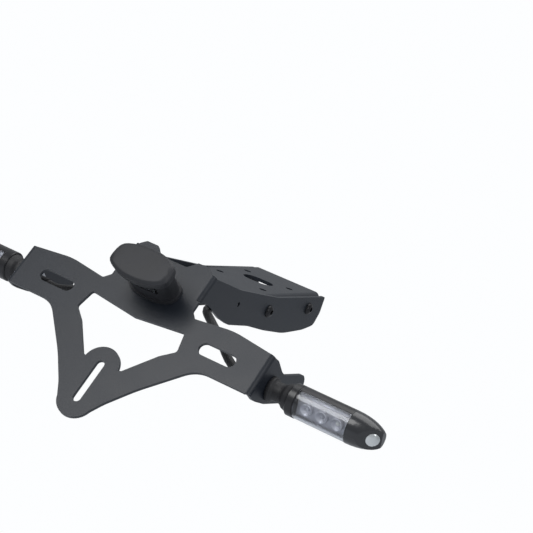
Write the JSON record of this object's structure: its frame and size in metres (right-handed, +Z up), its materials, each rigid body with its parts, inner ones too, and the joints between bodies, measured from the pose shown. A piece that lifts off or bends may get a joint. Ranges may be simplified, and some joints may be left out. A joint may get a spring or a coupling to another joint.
{
  "type": "tail tidy",
  "caption": "Folded black steel number plate bracket for a motorcycle tail, with a plate lamp and a micro indicator on each side",
  "frame": {"origin": "centre of the four tail bolts, on the upper face of the mounting tray", "axes": "+X to the right-hand side of the bike, +Y forward along the bike, +Z up"},
  "size_m": [0.418, 0.2958, 0.1307],
  "materials": {
    "powder_coat": "satin black powder coat",
    "black_screws": "black coated steel",
    "zinc": "zinc plated",
    "black_plastic": "fine grained black moulding",
    "gloss_black": "glossy black moulding",
    "clear_plastic": "clear moulded lens",
    "circuit_board": "white circuit board with light chips",
    "reflector": "metallised reflectors",
    "rubber": "matt black rubber",
    "sleeve": "braided black sleeve"
  },
  "bodies": {
    "root": {"plate_bracket": "powder_coat", "mounting_tray": "powder_coat", "arm_bolts": "black_screws", "arm_nuts": "zinc", "lamp_housing": "black_plastic", "lamp_lens": "clear_plastic", "lamp_led_board": "circuit_board", "lamp_washer": "zinc", "lamp_nut": "zinc", "lamp_lead": "sleeve", "right_stalk": "rubber", "right_housing": "black_plastic", "right_lens": "clear_plastic", "right_led_board": "reflector", "right_end_cap": "gloss_black", "right_tip_lens": "clear_plastic", "right_washer": "zinc", "right_nut": "zinc", "right_lead": "sleeve", "left_stalk": "rubber", "left_housing": "black_plastic", "left_lens": "clear_plastic", "left_led_board": "reflector", "left_end_cap": "gloss_black", "left_tip_lens": "clear_plastic", "left_washer": "zinc", "left_nut": "zinc", "left_lead": "sleeve", "connector_right": "black_plastic", "connector_left": "black_plastic", "connector_lamp": "black_plastic", "cable_ties": "black_plastic"}
  },
  "joints": []
}
